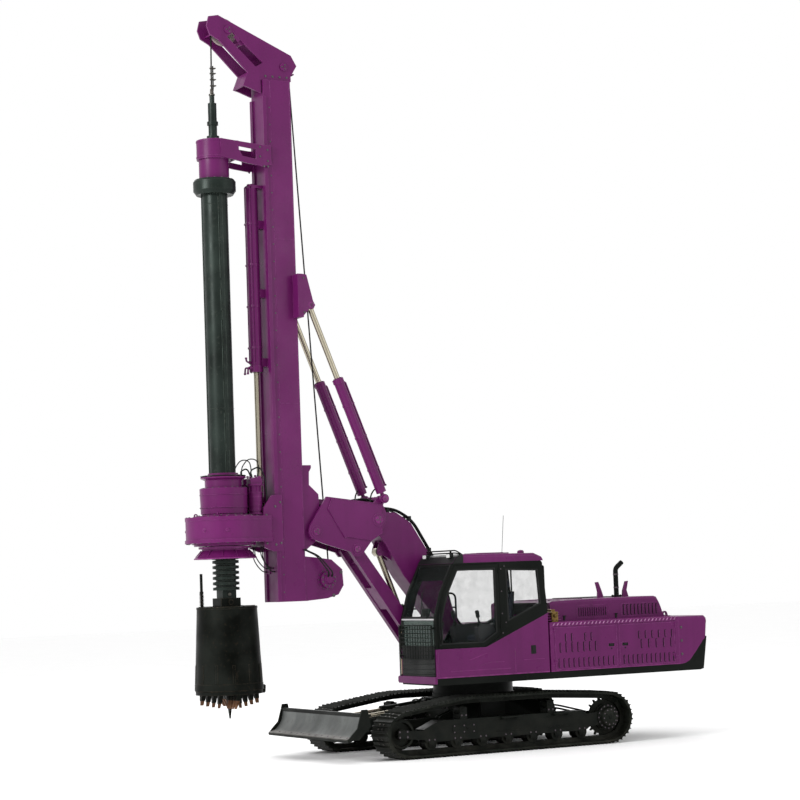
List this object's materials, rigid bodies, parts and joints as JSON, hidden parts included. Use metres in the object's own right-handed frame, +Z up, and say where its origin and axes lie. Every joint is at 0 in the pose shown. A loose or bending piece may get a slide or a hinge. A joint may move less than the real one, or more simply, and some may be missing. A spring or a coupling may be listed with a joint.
{
  "type": "rotary piling rig",
  "caption": "Crawler-mounted rotary piling rig with an upright mast on a parallelogram linkage, a telescopic kelly bar, a rotary drive head, a drilling bucket and a slewing cab.",
  "frame": {"origin": "ground point midway along the machine's length, on its centre line", "axes": "+Z up, -Y ahead towards the mast, +X towards the machine's left, where the cab is"},
  "size_m": [2.596, 7.97, 10.7],
  "materials": {
    "purple_paint": "satin",
    "black_paint": "satin",
    "kelly_steel": "satin",
    "track_steel": "matt",
    "bucket_steel": "matt",
    "blade_steel": "satin",
    "bright_rod": "polished",
    "dark_housing": "satin",
    "seat_fabric": "matt",
    "console_plastic": "matt",
    "cab_window": "clear",
    "engine_iron": "matt"
  },
  "bodies": {
    "undercarriage": {"car_body": "black_paint", "track_frames": "black_paint", "left_track": "track_steel", "right_track": "track_steel", "drive_sprockets": "track_steel", "front_idlers": "track_steel", "track_rollers": "track_steel", "slew_ring": "black_paint"},
    "blade": {"dozer_blade": "blade_steel"},
    "blade_barrels": {"blade_cylinder_barrels": "black_paint"},
    "blade_rods": {"blade_cylinder_rods": "bright_rod"},
    "upper": {"upper_frame": "black_paint", "counterweight": "purple_paint", "machinery_housing": "purple_paint", "right_boxes": "purple_paint", "engine_block": "engine_iron", "cab_base": "purple_paint", "cab_frame": "black_paint", "cab_roof": "purple_paint", "cab_glass": "cab_window", "operator_seat": "seat_fabric", "control_consoles": "console_plastic"},
    "cab_door_leaf": {"cab_door": "black_paint", "door_glass": "cab_window"},
    "front_service_door": {"left_front_door": "purple_paint"},
    "rear_service_door": {"left_rear_door": "purple_paint"},
    "hood": {"engine_hood": "purple_paint", "exhaust_pipe": "black_paint"},
    "boom_arm": {"boom": "purple_paint"},
    "boom_barrel": {"boom_cylinder_barrel": "black_paint"},
    "boom_rod": {"boom_cylinder_rod": "bright_rod"},
    "link": {"lower_link": "purple_paint"},
    "support": {"mast_support": "purple_paint"},
    "mast_assembly": {"mast": "purple_paint", "mast_head": "purple_paint", "winch_frame": "purple_paint", "crowd_cylinder": "purple_paint"},
    "mast_barrels": {"mast_cylinder_barrels": "purple_paint"},
    "mast_rods": {"mast_cylinder_rods": "bright_rod"},
    "front_rope_sheave": {"front_sheave": "dark_housing"},
    "rear_rope_sheave": {"rear_sheave": "dark_housing"},
    "drum": {"winch_drum": "dark_housing"},
    "head": {"rotary_head": "purple_paint", "drive_motors": "purple_paint", "crowd_rod": "bright_rod"},
    "sleeve": {"drive_sleeve": "purple_paint"},
    "guide": {"kelly_guide": "purple_paint"},
    "outer_kelly": {"kelly_tube": "kelly_steel"},
    "inner_kelly": {"kelly_core": "kelly_steel", "drilling_bucket": "bucket_steel"},
    "floor": {"bucket_floor": "bucket_steel"}
  },
  "joints": [
    {"name": "blade_lift", "type": "hinge", "parent": "undercarriage", "child": "blade", "pos_m": [0, -0.265, 0.45], "axis": [-1, 0, 0], "range_deg": [-12, 8]},
    {"name": "blade_barrel_swing", "type": "hinge", "parent": "undercarriage", "child": "blade_barrels", "pos_m": [0, -0.145, 0.69], "axis": [-1, 0, 0], "range_deg": [-10.82, 7.23]},
    {"name": "blade_rod_slide", "type": "slide", "parent": "blade_barrels", "child": "blade_rods", "axis": [0, -0.9959, -0.0905], "range_m": [-0.03214, 0.04771]},
    {"name": "slew", "type": "hinge", "parent": "undercarriage", "child": "upper", "pos_m": [0, 0.555, 1], "axis": [0, 0, 1], "continuous": true},
    {"name": "cab_door_hinge", "type": "hinge", "parent": "upper", "child": "cab_door_leaf", "pos_m": [1.2853, 0.305, 2.1], "axis": [0, 0, 1], "range_deg": [0, 130]},
    {"name": "front_service_door_hinge", "type": "hinge", "parent": "upper", "child": "front_service_door", "pos_m": [1.2853, 1.215, 1.45], "axis": [0, 0, -1], "range_deg": [0, 95]},
    {"name": "rear_service_door_hinge", "type": "hinge", "parent": "upper", "child": "rear_service_door", "pos_m": [1.2853, 3.375, 1.45], "axis": [0, 0, 1], "range_deg": [0, 95]},
    {"name": "hood_hinge", "type": "hinge", "parent": "upper", "child": "hood", "pos_m": [0, 1.435, 1.8153], "axis": [1, 0, 0], "range_deg": [0, 50]},
    {"name": "boom_lift", "type": "hinge", "parent": "upper", "child": "boom_arm", "pos_m": [0, 0.169, 1.655], "axis": [-1, 0, 0], "range_deg": [-8, 12]},
    {"name": "boom_barrel_swing", "type": "hinge", "parent": "upper", "child": "boom_barrel", "pos_m": [0, -0.295, 1.185], "axis": [-1, 0, 0], "range_deg": [-6.84, 10.23]},
    {"name": "boom_rod_slide", "type": "slide", "parent": "boom_barrel", "child": "boom_rod", "axis": [0, -0.3622, 0.9321], "range_m": [-0.08385, 0.12528]},
    {"name": "link_swing", "type": "hinge", "parent": "upper", "child": "link", "pos_m": [0, -0.191, 1.24], "axis": [-1, 0, 0], "range_deg": [-8.05, 12.05]},
    {"name": "support_level", "type": "hinge", "parent": "boom_arm", "child": "support", "pos_m": [0, -1.085, 3.4], "axis": [-1, 0, 0], "range_deg": [-12.05, 8.05]},
    {"name": "mast_tilt", "type": "hinge", "parent": "support", "child": "mast_assembly", "pos_m": [0, -2.095, 3.25], "axis": [-1, 0, 0], "range_deg": [-5, 15]},
    {"name": "mast_barrel_swing", "type": "hinge", "parent": "support", "child": "mast_barrels", "pos_m": [0, -1.005, 3.705], "axis": [-1, 0, 0], "range_deg": [-5.27, 15.7]},
    {"name": "mast_rod_slide", "type": "slide", "parent": "mast_barrels", "child": "mast_rods", "axis": [0, -0.3694, 0.9293], "range_m": [-0.3066, 0.10287]},
    {"name": "front_sheave_spin", "type": "hinge", "parent": "mast_assembly", "child": "front_rope_sheave", "pos_m": [0, -3.22, 10.5], "axis": [1, 0, 0], "continuous": true},
    {"name": "rear_sheave_spin", "type": "hinge", "parent": "mast_assembly", "child": "rear_rope_sheave", "pos_m": [0, -2.35, 10.02], "axis": [1, 0, 0], "continuous": true},
    {"name": "drum_spin", "type": "hinge", "parent": "mast_assembly", "child": "drum", "pos_m": [0, -1.925, 2.56], "axis": [1, 0, 0], "continuous": true},
    {"name": "crowd_slide", "type": "slide", "parent": "mast_assembly", "child": "head", "axis": [0, 0, 1], "range_m": [0, 1.25]},
    {"name": "sleeve_spin", "type": "hinge", "parent": "head", "child": "sleeve", "pos_m": [0, -3.421, 3.125], "axis": [0, 0, 1], "continuous": true},
    {"name": "guide_slide", "type": "slide", "parent": "mast_assembly", "child": "guide", "axis": [0, 0, 1], "range_m": [-3.9, 0]},
    {"name": "kelly_spin", "type": "hinge", "parent": "guide", "child": "outer_kelly", "pos_m": [0, -3.421, 8.61], "axis": [0, 0, 1], "continuous": true},
    {"name": "kelly_extend", "type": "slide", "parent": "outer_kelly", "child": "inner_kelly", "axis": [0, 0, 1], "range_m": [-3.5, 0]},
    {"name": "floor_hinge", "type": "hinge", "parent": "inner_kelly", "child": "floor", "pos_m": [0, -2.926, 1.02], "axis": [1, 0, 0], "range_deg": [0, 80]}
  ],
  "couplings": [
    {"joint": "blade_barrel_swing", "follows": "blade_lift", "ratio": 0.8975},
    {"joint": "blade_rod_slide", "follows": "blade_lift", "m_per_rad": -0.223},
    {"joint": "boom_barrel_swing", "follows": "boom_lift", "ratio": 0.8486},
    {"joint": "boom_rod_slide", "follows": "boom_lift", "m_per_rad": 0.5934},
    {"joint": "link_swing", "follows": "boom_lift", "ratio": 1},
    {"joint": "support_level", "follows": "boom_lift", "ratio": -1},
    {"joint": "mast_barrel_swing", "follows": "mast_tilt", "ratio": 1.0435},
    {"joint": "mast_rod_slide", "follows": "mast_tilt", "m_per_rad": -1.1673},
    {"joint": "sleeve_spin", "follows": "kelly_spin", "ratio": 1}
  ]
}
